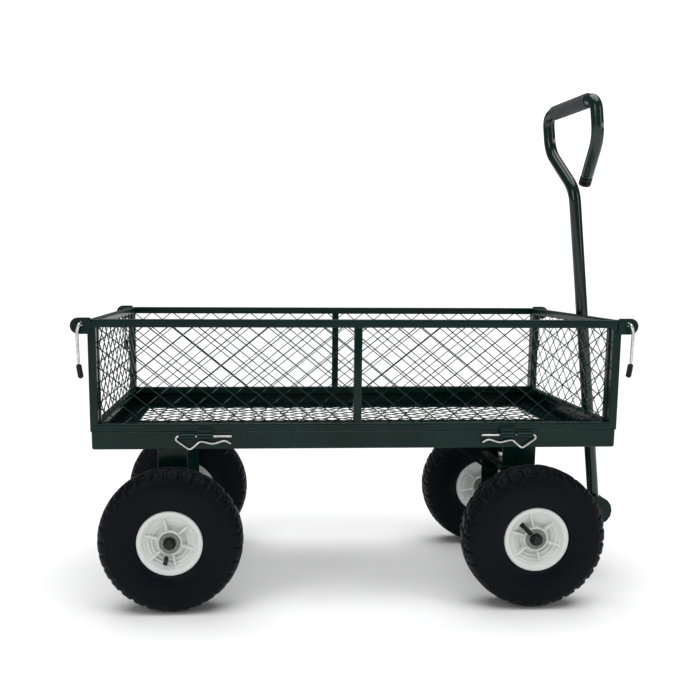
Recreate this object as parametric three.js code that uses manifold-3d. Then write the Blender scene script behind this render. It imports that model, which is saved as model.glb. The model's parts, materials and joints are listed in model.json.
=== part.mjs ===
// Garden cart: a steel deck on four pneumatic wheels, with four drop-down mesh panels,
// a steered front axle and a tow handle. Millimetres, +Z up, front of the cart along +X.
import * as THREE from "three";
import { mergeVertices } from "three/addons/utils/BufferGeometryUtils.js";
import Module from "manifold-3d";

const wasm = await Module();
wasm.setup();

// ---------------------------------------------------------------- driving dimensions
const clearance = 0.3; // between pieces that touch

const deckLength = 924;
const deckWidth = 495;
const deckBottom = 306; // height of the deck frame's underside above the ground
const deckWallHeight = 31;
const sheetThickness = 2.5;
const sideLedge = 30; // inward flange that carries the floor mesh, along the sides
const endLedge = 44; // the same, along the ends

const meshThickness = 2.2;
const meshStrand = 7;
const floorPitch = 160; // length of one diamond in the floor mesh
const panelPitch = 130;
const meshInset = 4; // a panel's mesh ends this far inside its frame's outline

const panelHeight = 195; // from the top of the deck to the top of the panels
const panelOverhang = 1.5; // side panels past each end of the deck
const panelTube = 14; // square tube
const hingeReachSide = 281; // from a side panel's middle to the seam between its two knuckles
const hingeReachEnd = 121;
const knuckleLength = 29;
const knuckleRadius = 5;
const knuckleBore = 2.3;
const hingeDrop = 7; // hinge axis below the top of the deck
const seamGap = 1; // from the seam to each knuckle
const weldHalf = 3; // half the height of the weld under a knuckle
const clipWire = 1.75; // radius of the hairpin wire
const tabThickness = 2.8; // plate between a panel's knuckle and its bottom rail

const strapOverhang = 28; // latch strap past the end of its panel
const strapThickness = 3;
const strapHeight = 28;
const latchReach = 10; // latch pin's axis past the end of its panel
const latchDrop = 7.5; // latch pin's axis below the top of the panel
const latchWire = 2.75;
const latchHole = 3.6; // in the strap
const lugHole = 4.9; // half the width of the lug's square hole, wider so that the pin finds it
const lugThickness = 2.8;
const lugReach = 19.5; // out from the end panel's face
const lugHeight = 18;
const latchBend = 5;
const latchTravel = 6.5; // inward, from drawn back to locked
const latchHang = 66; // length of bare wire that hangs below the hole
const latchGripRadius = 4.8;
const latchGripLength = 26;

const wheelRadius = 131.5;
const wheelTrack = 402; // between the middle planes of the two wheels on an axle
const wheelBase = 665;
const tyreWidth = 82;
const treadHalf = 25; // half the width of the tread's flat
const shoulderDrop = 10; // from the tread's flat down to the shoulder
const rimWidth = 64;
const rimRadius = 59.5; // outside of the rim's flange
const rimWell = 54.5; // the rim's barrel, where the tyre's beads sit
const rimLip = 4; // thickness of the flange
const rimRecess = 14; // from the wheel's middle plane to the floor of its outer recess
const stemRadius = 3.6;
const hubRadius = 21.5;
const bearingRadius = 17.5;
const hubLength = 56;
const axleRadius = 8;
const axleOverhang = 12; // axle past the hub's outer face
const axleNutRadius = 12.5;
const axleNutHeight = 7;
const wheelSides = 24;

const beamWidth = 110;
const beamHeight = 16;
const beamWall = 3;
const beamInset = 12; // the beam ends this far inside the deck's ends
const bracketPlate = 5;
const rearBracketSpan = 300; // across the two rear hangers
const rearBracketLength = 55;
const hangerFoot = 36; // width of a rear hanger at the axle
const bolsterLength = 66;
const bolsterWidth = 120;
const bolsterHeight = 56;
const bolsterAhead = 13; // middle of the bolster ahead of the kingpin
const braceWidth = 36;
const bracePlate = 5;
const braceSlope = 34; // degrees
const braceFlange = 40; // bolted flat against the beam
const braceFootBack = 36; // its foot, under the yoke, behind the kingpin
const braceFootFront = 13;
const kingpinRadius = 8;
const kingpinHead = 13; // radius of the hexagons of its head and nut
const kingpinHeadHeight = 9;
const kingpinNutHeight = 10;
const yokePlate = 6;
const yokeBoss = 9; // collar under the yoke's plate, which turns on the brace's foot
const yokeBossRadius = 15;
const yokeLength = 56;
const yokeSpan = 150;

const towAhead = 64.5; // handle pivot ahead of the deck's end
const towHeight = 125.5;
const earRadius = 30;
const earGap = 33; // between the two ears of the tongue
const tonguePlate = 23; // tongue's cross plate ahead of the kingpin
const tongueDrop = 20; // the same plate, down from the handle's pivot
const towBoltRadius = 6;
const towHeadRadius = 10.5;
const towHeadHeight = 7;
const towNutHeight = 9;

const handleTube = 11.5; // radius of the handle's tube
const handleLength = 813; // from the pivot to the middle of the grip
const handleLean = 6.4; // degrees, back over the cart
const handleTwist = 10; // degrees between the loop and the axle
const loopFar = 86; // from the pole's axis to the loop's far leg
const loopNear = 97; // and to its near leg, which ends free
const loopBend = 26;
const handleBush = 13; // radius of the cross tube at the pivot
const plugHeight = 11;
const gripRadius = 14.2;
const gripWall = 1.5; // the grip's inner skin stands off the tube's flats
const gripRound = 2.5;

// ---------------------------------------------------------------- derived sizes
const deckTop = deckBottom + deckWallHeight;
const sideFace = deckWidth / 2;
const endFace = deckLength / 2;
const meshFace = panelTube + clearance; // the mesh lies against the inside of its frame
const endPanelLength = deckWidth - 2 * (meshFace + meshThickness + 1.5);
const hingeOut = knuckleRadius + 0.5; // hinge axis outside the deck's wall
const beamTop = deckBottom - clearance;
const beamBottom = beamTop - beamHeight;
const bracketTop = beamBottom - clearance;
const bolsterBottom = bracketTop - bolsterHeight;
const yokeTop = bolsterBottom - 2 * clearance;
const braceFootTop = yokeTop - yokePlate - yokeBoss - clearance;
const braceFootBottom = braceFootTop - bracePlate;
const rearX = -wheelBase / 2;
const frontX = wheelBase / 2;
const towReach = endFace + towAhead - frontX; // handle pivot ahead of the kingpin
const sidePanelLength = deckLength + 2 * panelOverhang;
const bolsterBack = frontX + bolsterAhead - bolsterLength / 2;
const latchHeight = panelHeight - latchDrop;

// ---------------------------------------------------------------- finishes
const finish = (color, roughness, metalness) =>
  new THREE.MeshStandardMaterial({ color, roughness, metalness });
const greenPaint = () => finish(0x0a2a1e, 0.35, 0.2);
const zinc = () => finish(0xb9bdbb, 0.35, 0.9);
const steel = () => finish(0x77797a, 0.4, 0.9);
const blackSteel = () => finish(0x1a1b1c, 0.45, 0.6);
const whitePlastic = () => finish(0xe9eaea, 0.45, 0);
const rubberBlack = () => finish(0x0b0d12, 0.85, 0);
const foam = () => finish(0x23272a, 0.9, 0);
const vinyl = () => finish(0x111111, 0.5, 0);

// ---------------------------------------------------------------- solids
// A closed geometry as a solid that can be joined and cut.
function solid(geometry) {
  const bare = geometry.clone();
  bare.deleteAttribute("normal");
  bare.deleteAttribute("uv");
  const merged = mergeVertices(bare, 1e-4);
  return new wasm.Manifold(
    new wasm.Mesh({
      numProp: 3,
      vertProperties: new Float32Array(merged.attributes.position.array),
      triVerts: new Uint32Array(merged.index.array),
    }),
  );
}

function geometryOf(manifold) {
  const mesh = manifold.getMesh();
  const geometry = new THREE.BufferGeometry();
  geometry.setAttribute("position", new THREE.BufferAttribute(mesh.vertProperties, 3));
  geometry.setIndex(new THREE.BufferAttribute(mesh.triVerts, 1));
  const flat = geometry.toNonIndexed();
  flat.computeVertexNormals();
  return flat;
}

const join = (...pieces) => pieces.reduce((whole, piece) => whole.add(piece));
const cut = (whole, ...tools) => tools.reduce((rest, tool) => rest.subtract(tool), whole);

// A block between two corners.
function block(low, high) {
  const size = high.map((value, i) => value - low[i]);
  const middle = high.map((value, i) => (value + low[i]) / 2);
  return solid(new THREE.BoxGeometry(...size).translate(...middle));
}

// A round bar along one axis, from one value of that axis to another.
function bar(axis, radius, middle, from, to, sides = 16) {
  const geometry = new THREE.CylinderGeometry(radius, radius, to - from, sides);
  if (axis === "x") geometry.rotateZ(-Math.PI / 2);
  if (axis === "z") geometry.rotateX(Math.PI / 2);
  const place = { x: [1, 0, 0], y: [0, 1, 0], z: [0, 0, 1] }[axis];
  const centre = (from + to) / 2;
  geometry.translate(...middle.map((value, i) => value + place[i] * centre));
  return solid(geometry);
}

const pipe = (axis, outer, inner, middle, from, to, sides = 16) =>
  cut(
    bar(axis, outer, middle, from, to, sides),
    bar(axis, inner, middle, from - 1, to + 1, sides),
  );

// A closed profile of [radius, height] points turned about the Y axis, with a flat facet
// exactly at each profile radius.
function turned(profile, sides) {
  const stretch = 1 / Math.cos(Math.PI / sides);
  const points = profile.map(([r, y]) => new THREE.Vector2(r * stretch, y));
  if (THREE.ShapeUtils.area(points) < 0) points.reverse();
  points.push(points[0].clone());
  return solid(new THREE.LatheGeometry(points, sides, Math.PI / sides));
}

// A route of straight runs whose corners are rounded.
function bentPath(points, bend) {
  const path = new THREE.CurvePath();
  const corners = points.map((point) => new THREE.Vector3(...point));
  let start = corners[0];
  for (let i = 1; i < corners.length - 1; i++) {
    const before = corners[i - 1].clone().sub(corners[i]);
    const after = corners[i + 1].clone().sub(corners[i]);
    const reach = Math.min(bend, before.length() / 2, after.length() / 2);
    const enter = corners[i].clone().add(before.setLength(reach));
    const leave = corners[i].clone().add(after.setLength(reach));
    if (enter.distanceTo(start) > 1e-3) path.add(new THREE.LineCurve3(start, enter));
    path.add(new THREE.QuadraticBezierCurve3(enter, corners[i], leave));
    start = leave;
  }
  path.add(new THREE.LineCurve3(start, corners[corners.length - 1]));
  return path;
}

// A round wire or tube along a path.
function swept(path, radius, sides, steps) {
  const ring = [];
  for (let i = 0; i < sides; i++) {
    const angle = (2 * Math.PI * i) / sides;
    ring.push(new THREE.Vector2(radius * Math.cos(angle), radius * Math.sin(angle)));
  }
  const section = new THREE.Shape(ring);
  const options = { extrudePath: path, steps, bevelEnabled: false };
  return solid(new THREE.ExtrudeGeometry(section, options));
}

// ---------------------------------------------------------------- scene graph
const cart = new THREE.Group();

function add(parent, name, manifold, material) {
  const mesh = new THREE.Mesh(geometryOf(manifold), material);
  mesh.name = name;
  parent.add(mesh);
  return mesh;
}

// The four edges of the deck. In each edge's own frame X runs along the edge, +Y points
// into the bed, and the origin is at the middle of the edge's outer face, at the deck's top.
const edges = [
  { name: "left", turn: Math.PI, x: 0, y: sideFace, length: sidePanelLength, side: true },
  { name: "right", turn: 0, x: 0, y: -sideFace, length: sidePanelLength, side: true },
  { name: "front", turn: Math.PI / 2, x: endFace, y: 0, length: endPanelLength, side: false },
  { name: "rear", turn: -Math.PI / 2, x: -endFace, y: 0, length: endPanelLength, side: false },
];
const hingeReach = (edge) => (edge.side ? hingeReachSide : hingeReachEnd);

function edgeFrame(edge) {
  const frame = new THREE.Group();
  frame.position.set(edge.x, edge.y, deckTop);
  frame.rotation.z = edge.turn;
  return frame;
}

// Two distances from the middle of an edge, on one hand of it, as [low, high].
const handed = (hand, near, far) => [hand * near, hand * far].sort((a, b) => a - b);

// A knuckle: a short pipe on the hinge axis. Its ends are given along the edge.
const knuckle = (from, to) =>
  pipe("x", knuckleRadius, knuckleBore, [0, -hingeOut, -hingeDrop], from, to, 8);

// ---------------------------------------------------------------- deck
function deckFrame() {
  const frame = cut(
    block([-endFace, -sideFace, deckBottom], [endFace, sideFace, deckTop]),
    block(
      [-endFace + sheetThickness, -sideFace + sheetThickness, deckBottom + sheetThickness],
      [endFace - sheetThickness, sideFace - sheetThickness, deckTop + 1],
    ),
    block(
      [-endFace + endLedge, -sideFace + sideLedge, deckBottom - 1],
      [endFace - endLedge, sideFace - sideLedge, deckTop],
    ),
  );
  const knuckles = [];
  for (const edge of edges) {
    const seam = hingeReach(edge);
    for (const hand of [-1, 1]) {
      const ends = handed(hand, seam + seamGap, seam + seamGap + knuckleLength);
      const weld = block(
        [ends[0], -hingeOut + knuckleBore + 1, -hingeDrop - weldHalf],
        [ends[1], 1, -hingeDrop + weldHalf],
      );
      const placed = join(knuckle(...ends), weld)
        .rotate([0, 0, THREE.MathUtils.radToDeg(edge.turn)])
        .translate([edge.x, edge.y, deckTop]);
      knuckles.push(placed);
    }
  }
  return join(frame, ...knuckles);
}

// A flat prism over an outline of [x, y] points, from z = low to z = high.
function prism(outline, low, high) {
  const shape = new THREE.Shape(outline.map((point) => new THREE.Vector2(...point)));
  const options = { depth: high - low, bevelEnabled: false };
  return solid(new THREE.ExtrudeGeometry(shape, options).translate(0, 0, low));
}

// A flat sheet with diamond openings: length along X, height along Y, thickness along Z.
// The openings that meet the border are cut off there, inside a plain margin.
function diamondSheet(length, height, pitch) {
  const columns = Math.max(2, Math.round(length / pitch));
  const rows = Math.max(2, Math.round(height / (pitch * 0.78)));
  const stepX = (length - meshStrand) / columns / 2;
  const stepY = (height - meshStrand) / rows / 2;
  const halfX = stepX - meshStrand * 0.7;
  const halfY = stepY - meshStrand * 0.55;
  const openings = [];
  for (let i = 0; i <= 2 * columns; i++) {
    for (let j = i % 2; j <= 2 * rows; j += 2) {
      const x = (i - columns) * stepX;
      const y = (j - rows) * stepY;
      const diamond = [
        [x + halfX, y],
        [x, y + halfY],
        [x - halfX, y],
        [x, y - halfY],
      ];
      openings.push(prism(diamond, -1, meshThickness + 1));
    }
  }
  const margin = [length / 2 - meshStrand, height / 2 - meshStrand];
  const inside = block([-margin[0], -margin[1], -1], [margin[0], margin[1], meshThickness + 1]);
  const plate = block([-length / 2, -height / 2, 0], [length / 2, height / 2, meshThickness]);
  return cut(plate, join(...openings).intersect(inside));
}

function floorMesh() {
  const length = deckLength - 2 * sheetThickness - 2;
  const width = deckWidth - 2 * sheetThickness - 2;
  const bottom = deckBottom + sheetThickness + clearance;
  return diamondSheet(length, width, floorPitch).translate([0, 0, bottom]);
}

// The deck's middle beam: an inverted channel under the floor, from end flange to end flange.
function centerBeam() {
  const half = endFace - beamInset;
  const side = beamWidth / 2;
  const inner = side - beamWall;
  return cut(
    block([-half, -side, beamBottom], [half, side, beamTop]),
    block([-half - 1, -inner, beamBottom - 1], [half + 1, inner, beamTop - beamWall]),
  );
}

// ---------------------------------------------------------------- panels
// A panel's frame in its edge's frame, with its two hinge knuckles. Side panels have a middle
// post and a latch strap at each end; end panels have the lugs that the latch pins go through.
function panelFrame(edge) {
  const half = edge.length / 2;
  const low = clearance;
  const high = panelHeight;
  const outline = cut(
    block([-half, 0, low], [half, panelTube, high]),
    block(
      [-half + panelTube, -1, low + panelTube],
      [half - panelTube, panelTube + 1, high - panelTube],
    ),
  );
  const pieces = [outline];
  if (edge.side) {
    const post = panelTube / 2;
    pieces.push(block([-post, 0, low + 1], [post, panelTube, high - 1]));
  }
  const seam = hingeReach(edge);
  for (const hand of [-1, 1]) {
    const ends = handed(hand, seam - seamGap - knuckleLength, seam - seamGap);
    const tabBack = -clearance * 2;
    const tabTop = panelTube / 2 + 1;
    pieces.push(
      knuckle(...ends),
      block([ends[0], tabBack - tabThickness, weldHalf - hingeDrop], [ends[1], tabBack, tabTop]),
      block([ends[0], -1, clearance + 1], [ends[1], 1, tabTop]),
    );
    pieces.push(edge.side ? latchStrap(half, hand) : latchLug(half, hand));
  }
  return join(...pieces);
}

function latchStrap(half, hand) {
  const inner = half - panelTube / 2;
  const outer = half + strapOverhang;
  const round = strapHeight / 2;
  const top = panelHeight + strapThickness;
  const reach = handed(hand, inner, outer - round);
  const plate = block([reach[0], -strapThickness, top - strapHeight], [reach[1], clearance, top]);
  const middle = [hand * (outer - round), 0, top - round];
  const end = bar("y", round, middle, -strapThickness, 0, 16);
  const hole = [hand * (half + latchReach), 0, latchHeight];
  return cut(join(plate, end), bar("y", latchHole, hole, -strapThickness - 1, 1, 12));
}

function latchLug(half, hand) {
  const faces = handed(hand, half - clearance - lugThickness, half - clearance);
  const top = Math.min(latchHeight + lugHeight / 2, panelHeight);
  const plate = block([faces[0], -lugReach, latchHeight - lugHeight / 2], [faces[1], 1, top]);
  const hole = [0, -latchReach - panelOverhang, latchHeight];
  const low = [faces[0] - 1, hole[1] - lugHole, hole[2] - lugHole];
  const high = [faces[1] + 1, hole[1] + lugHole, hole[2] + lugHole];
  return cut(plate, block(low, high));
}

function panelMesh(edge) {
  const height = panelHeight - 2 * meshInset;
  return diamondSheet(edge.length - 2 * meshInset, height, panelPitch)
    .rotate([90, 0, 0])
    .translate([0, meshFace + meshThickness, panelHeight / 2]);
}

// A hairpin clip: its straight leg is the hinge pin, and its waved leg springs back under it.
function hairpinClip(edge, hand) {
  const seam = hingeReach(edge);
  const along = (u, w) => [hand * (seam + u), -hingeOut, w];
  const path = bentPath(
    [
      along(-62, -hingeDrop),
      along(34, -hingeDrop),
      along(35.5, -hingeDrop - 6),
      along(11, -deckWallHeight),
      along(-7, -15),
      along(-29, -20.5),
      along(-49, -14),
      along(-60, -20),
    ],
    4,
  );
  return swept(path, clipWire, 5, 13);
}

// A latch pin: a bent wire that slides across the corner, and hangs down outside the strap.
function latchRoute(half, hand) {
  const u = hand * (half + latchReach);
  const hang = -strapThickness - latchBend - latchTravel - 2 * clearance;
  return [
    [u, panelTube + 2, latchHeight],
    [u, hang, latchHeight],
    [u + hand * 4, hang, latchHeight - 12],
    [u + hand * 3, hang, latchHeight - latchHang],
    [u - hand, hang, latchHeight - latchHang - latchGripLength],
  ];
}

function latchPin(half, hand) {
  const route = latchRoute(half, hand).slice(0, 4);
  return swept(bentPath(route, latchBend), latchWire, 6, 9);
}

function latchGrip(half, hand) {
  const route = latchRoute(half, hand).map((point) => new THREE.Vector3(...point));
  const toEnd = route[4].clone().sub(route[3]).normalize();
  const start = route[3].clone().addScaledVector(toEnd, 1);
  const path = new THREE.LineCurve3(start, route[4]);
  return swept(path, latchGripRadius, 8, 1);
}

// ---------------------------------------------------------------- wheels
// Each wheel's own frame has its origin in the wheel's middle, with the outer face towards +Y.
function tyre() {
  const bead = rimWidth / 2 - rimLip - clearance;
  const bulge = tyreWidth / 2;
  const half = [
    [rimWell + clearance, bead],
    [rimRadius + clearance, bead],
    [(rimRadius + wheelRadius) / 2, bulge],
    [wheelRadius - shoulderDrop, bulge - shoulderDrop / 2],
    [wheelRadius, treadHalf],
  ];
  const other = half.map(([r, w]) => [r, -w]).reverse();
  return turned([...half, ...other], wheelSides);
}

function rim() {
  const face = rimWidth / 2;
  const lip = rimWell - rimLip;
  const hub = hubLength / 2;
  const half = [
    [bearingRadius + clearance, hub],
    [hubRadius, hub],
    [hubRadius + 2, rimRecess],
    [lip - rimLip, rimRecess],
    [lip, face],
    [rimRadius, face],
    [rimWell, face - rimLip],
  ];
  const other = half.map(([r, w]) => [r, -w]).reverse();
  return turned([...half, ...other], wheelSides);
}

function hubBearing() {
  const end = hubLength / 2 + 1;
  const bore = axleRadius + clearance;
  const profile = [
    [bore, -end],
    [bearingRadius, -end],
    [bearingRadius, end],
    [bore, end],
  ];
  return turned(profile, wheelSides);
}

// The valve stem stands in the rim's recess, from the barrel towards the hub.
function valveStem() {
  const height = (rimRecess + rimWidth / 2) / 2 - 1;
  return bar("z", stemRadius, [0, height, 0], hubRadius + 7, rimWell - 2 * rimLip - 1, 8);
}

function axleBar() {
  const end = wheelTrack / 2 + hubLength / 2 + axleOverhang;
  return bar("y", axleRadius, [0, 0, 0], -end, end, 16);
}

// A hexagon nut on the axle, outside the hub, with its outer face towards +Y.
function axleNut() {
  const inner = hubLength / 2 + 2;
  const outer = inner + axleNutHeight;
  return cut(
    bar("y", axleNutRadius, [0, 0, 0], inner, outer, 6),
    bar("y", axleRadius + clearance, [0, 0, 0], inner - 1, outer + 1, 16),
  );
}

function addWheel(parent, name, hand, valveTurn) {
  const wheel = new THREE.Group();
  wheel.position.set(0, (hand * wheelTrack) / 2, 0);
  wheel.rotation.z = hand > 0 ? 0 : Math.PI;
  parent.add(wheel);
  add(wheel, name + "_tyre", tyre(), rubberBlack());
  add(wheel, name + "_rim", rim(), whitePlastic());
  add(wheel, name + "_bearing", hubBearing(), steel());
  const stem = new THREE.Group();
  stem.rotation.y = THREE.MathUtils.degToRad(valveTurn);
  wheel.add(stem);
  add(stem, name + "_valve_stem", valveStem(), rubberBlack());
  add(wheel, name + "_axle_nut", axleNut(), blackSteel());
}

// ---------------------------------------------------------------- rear axle
// Two hangers under a cross plate, with the axle through them.
function rearAxleBracket() {
  const half = rearBracketLength / 2;
  const span = rearBracketSpan / 2;
  const foot = hangerFoot / 2;
  const waist = wheelRadius + foot;
  const pieces = [
    block([rearX - half, -span, bracketTop - bracketPlate], [rearX + half, span, bracketTop]),
  ];
  for (const hand of [-1, 1]) {
    const faces = handed(hand, span - bracketPlate, span);
    pieces.push(
      block([rearX - half, faces[0], waist], [rearX + half, faces[1], bracketTop]),
      block([rearX - foot, faces[0], wheelRadius - foot], [rearX + foot, faces[1], waist + 1]),
    );
  }
  const hole = axleRadius + clearance;
  const middle = [rearX, 0, wheelRadius];
  return cut(join(...pieces), bar("y", hole, middle, -span - 1, span + 1, 16));
}

// ---------------------------------------------------------------- front axle and steering
// The bolster: a box open to the front and back, fixed under the beam, that holds the kingpin.
function frontBolster() {
  const side = bolsterWidth / 2;
  const low = [bolsterBack, -side, bolsterBottom];
  const high = [bolsterBack + bolsterLength, side, bracketTop];
  return cut(
    block(low, high),
    block(
      [low[0] - 1, low[1] + bracketPlate, low[2] + bracketPlate],
      [high[0] + 1, high[1] - bracketPlate, high[2] - bracketPlate],
    ),
    bar("z", kingpinRadius + clearance, [frontX, 0, 0], low[2] - 1, low[2] + bracketPlate + 1),
  );
}

// A bent flat bar that stays the kingpin's lower end to the beam: a foot under the yoke, a
// slope up and back, and a flange against the beam.
function frontBrace() {
  const high = beamBottom - clearance;
  const back = frontX - braceFootBack;
  const front = frontX + braceFootFront;
  const run = (high - braceFootTop) / Math.tan(THREE.MathUtils.degToRad(braceSlope));
  const lean = bracePlate * Math.tan(THREE.MathUtils.degToRad(braceSlope / 2));
  const profile = new THREE.Shape();
  profile.moveTo(front, braceFootBottom);
  profile.lineTo(front, braceFootTop);
  profile.lineTo(back, braceFootTop);
  profile.lineTo(back - run, high);
  profile.lineTo(back - run - braceFlange, high);
  profile.lineTo(back - run - braceFlange, high - bracePlate);
  profile.lineTo(back - run - lean, high - bracePlate);
  profile.lineTo(back - lean, braceFootBottom);
  const plate = new THREE.ExtrudeGeometry(profile, { depth: braceWidth, bevelEnabled: false });
  plate.rotateX(Math.PI / 2);
  plate.translate(0, braceWidth / 2, 0);
  const hole = kingpinRadius + clearance;
  const ends = [braceFootBottom - 1, braceFootTop + 1];
  return cut(solid(plate), bar("z", hole, [frontX, 0, 0], ...ends));
}

function kingpin() {
  const seat = bolsterBottom + bracketPlate + clearance;
  const middle = [frontX, 0, 0];
  return join(
    bar("z", kingpinHead, middle, seat, seat + kingpinHeadHeight, 6),
    bar("z", kingpinRadius, middle, braceFootBottom - kingpinNutHeight - 4, seat + 1),
  );
}

function kingpinNut() {
  const top = braceFootBottom - clearance;
  const bottom = top - kingpinNutHeight;
  const middle = [frontX, 0, 0];
  return cut(
    bar("z", kingpinHead, middle, bottom, top, 6),
    bar("z", kingpinRadius + clearance, middle, bottom - 1, top + 1),
  );
}

// The yoke: a top plate that turns under the bolster, two legs down to the axle, and a tongue
// of two plates that ends in the ears for the handle's pivot.
function axleYoke() {
  const half = yokeLength / 2;
  const span = yokeSpan / 2;
  const towX = frontX + towReach;
  const earSide = earGap / 2;
  const plateX = frontX + tonguePlate;
  const buried = yokeTop - yokePlate / 2;
  const pieces = [
    block([frontX - half, -span, yokeTop - yokePlate], [frontX + half, span, yokeTop]),
    block([plateX, -span, towHeight - tongueDrop], [plateX + bracketPlate, span, buried]),
  ];
  for (const hand of [-1, 1]) {
    const leg = handed(hand, span - bracketPlate, span);
    const legFoot = wheelRadius - hangerFoot / 2;
    pieces.push(block([frontX - half, leg[0], legFoot], [frontX + half, leg[1], buried]));
    const ear = handed(hand, earSide, earSide + bracketPlate);
    const low = towHeight - earRadius;
    const high = towHeight + earRadius;
    pieces.push(
      block([plateX, ear[0], low], [towX, ear[1], high]),
      bar("y", earRadius, [towX, 0, towHeight], ear[0], ear[1], 16),
    );
  }
  const axle = [frontX, 0, wheelRadius];
  const tow = [towX, 0, towHeight];
  const earOut = earSide + bracketPlate + 1;
  const turning = kingpinRadius + 2 * clearance;
  const pin = [frontX, 0, 0];
  const collar = yokeTop - yokePlate - yokeBoss;
  pieces.push(bar("z", yokeBossRadius, pin, collar, buried));
  return cut(
    join(...pieces),
    bar("y", axleRadius + clearance, axle, -span - 1, span + 1),
    bar("z", turning, pin, collar - 1, yokeTop + 1),
    bar("y", towBoltRadius + clearance, tow, -earOut, earOut),
  );
}

function towBolt() {
  const out = earGap / 2 + bracketPlate + clearance;
  return join(
    bar("y", towBoltRadius, [0, 0, 0], -out - 1, out + towNutHeight + 4, 12),
    bar("y", towHeadRadius, [0, 0, 0], -out - towHeadHeight, -out, 6),
  );
}

function towNut() {
  const inner = earGap / 2 + bracketPlate + clearance;
  return cut(
    bar("y", towHeadRadius, [0, 0, 0], inner, inner + towNutHeight, 6),
    bar("y", towBoltRadius + clearance, [0, 0, 0], inner - 1, inner + towNutHeight + 1, 12),
  );
}

// ---------------------------------------------------------------- tow handle
// The handle's own frame: origin at its pivot, +Z up the pole, +Y across the cart.
const loopPoint = (across, up) => {
  const twist = THREE.MathUtils.degToRad(handleTwist);
  return [-across * Math.sin(twist), across * Math.cos(twist), up];
};
const loopRoute = [
  loopPoint(0, 8),
  loopPoint(0, handleLength - 158),
  loopPoint(loopFar, handleLength - 73),
  loopPoint(loopFar, handleLength),
  loopPoint(-loopNear, handleLength),
  loopPoint(-loopNear, handleLength - 72),
  loopPoint(-loopNear * 0.46, handleLength - 144),
];

function handleTubeSolid() {
  const bore = towBoltRadius + clearance;
  const half = earGap / 2;
  const bush = pipe("y", handleBush, bore, [0, 0, 0], 1 - half, half - 1);
  const pole = swept(bentPath(loopRoute, loopBend), handleTube, 8, 50);
  return join(pole.subtract(bar("y", bore, [0, 0, 0], -earGap, earGap)), bush);
}

function handleEndPlug() {
  const [before, last] = loopRoute.slice(-2).map((point) => new THREE.Vector3(...point));
  const away = last.clone().sub(before).normalize();
  const start = last.clone().addScaledVector(away, clearance);
  const skirt = handleTube + 0.5;
  const profile = [
    [0, 0],
    [skirt, 0],
    [skirt, plugHeight / 3],
    [skirt * 0.7, plugHeight - 2],
    [0, plugHeight],
  ];
  const points = profile.map(([r, y]) => new THREE.Vector2(r, y));
  const dome = new THREE.LatheGeometry(points, 12);
  const up = new THREE.Vector3(0, 1, 0);
  dome.applyQuaternion(new THREE.Quaternion().setFromUnitVectors(up, away));
  dome.translate(start.x, start.y, start.z);
  return solid(dome);
}

function handleGrip() {
  const low = loopBend - loopNear;
  const high = loopFar - loopBend;
  const bore = handleTube + gripWall;
  const profile = [
    [bore, low],
    [gripRadius - gripRound / 2, low],
    [gripRadius, low + gripRound],
    [gripRadius, high - gripRound],
    [gripRadius - gripRound / 2, high],
    [bore, high],
  ];
  return turned(profile, 16).rotate([0, 0, handleTwist]).translate([0, 0, handleLength]);
}

// ---------------------------------------------------------------- assembly
add(cart, "deck_frame", deckFrame(), greenPaint());
add(cart, "floor_mesh", floorMesh(), greenPaint());
add(cart, "center_beam", centerBeam(), greenPaint());

for (const edge of edges) {
  const frame = edgeFrame(edge);
  cart.add(frame);
  add(frame, edge.name + "_panel_frame", panelFrame(edge), greenPaint());
  add(frame, edge.name + "_panel_mesh", panelMesh(edge), greenPaint());
  for (const hand of [-1, 1]) {
    const which = edge.name + (hand < 0 ? "_a" : "_b");
    add(frame, which + "_hinge_clip", hairpinClip(edge, hand), zinc());
    if (!edge.side) continue;
    add(frame, which + "_latch_pin", latchPin(edge.length / 2, hand), zinc());
    add(frame, which + "_latch_grip", latchGrip(edge.length / 2, hand), vinyl());
  }
}

add(cart, "rear_axle_bracket", rearAxleBracket(), greenPaint());
add(cart, "front_bolster", frontBolster(), greenPaint());
add(cart, "front_brace", frontBrace(), greenPaint());
add(cart, "kingpin", kingpin(), zinc());
add(cart, "kingpin_nut", kingpinNut(), zinc());
add(cart, "axle_yoke", axleYoke(), greenPaint());

for (const [end, x, valveTurns] of [["rear", rearX, [150, 167]], ["front", frontX, [40, 45]]]) {
  const axle = new THREE.Group();
  axle.position.set(x, 0, wheelRadius);
  cart.add(axle);
  add(axle, end + "_axle", axleBar(), steel());
  addWheel(axle, end + "_left", 1, valveTurns[0]);
  addWheel(axle, end + "_right", -1, valveTurns[1]);
}

const pivot = new THREE.Group();
pivot.position.set(frontX + towReach, 0, towHeight);
cart.add(pivot);
add(pivot, "tow_bolt", towBolt(), zinc());
add(pivot, "tow_nut", towNut(), zinc());
const handle = new THREE.Group();
handle.rotation.y = -THREE.MathUtils.degToRad(handleLean);
pivot.add(handle);
add(handle, "handle_tube", handleTubeSolid(), greenPaint());
add(handle, "handle_end_plug", handleEndPlug(), vinyl());
add(handle, "handle_grip", handleGrip(), foam());

// The origin is on the ground, under the middle of the whole outline.
cart.updateMatrixWorld(true);
const outline = new THREE.Box3().setFromObject(cart, true);
cart.position.set(-(outline.min.x + outline.max.x) / 2, 0, -outline.min.z);

const root = new THREE.Group();
root.add(cart);

export default root;
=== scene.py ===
"""A garden cart: the visible surfaces of its deck, mesh panels, wheels and tow handle."""

import json
import math

import bpy
import numpy as np
from mathutils import Matrix, Vector


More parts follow.
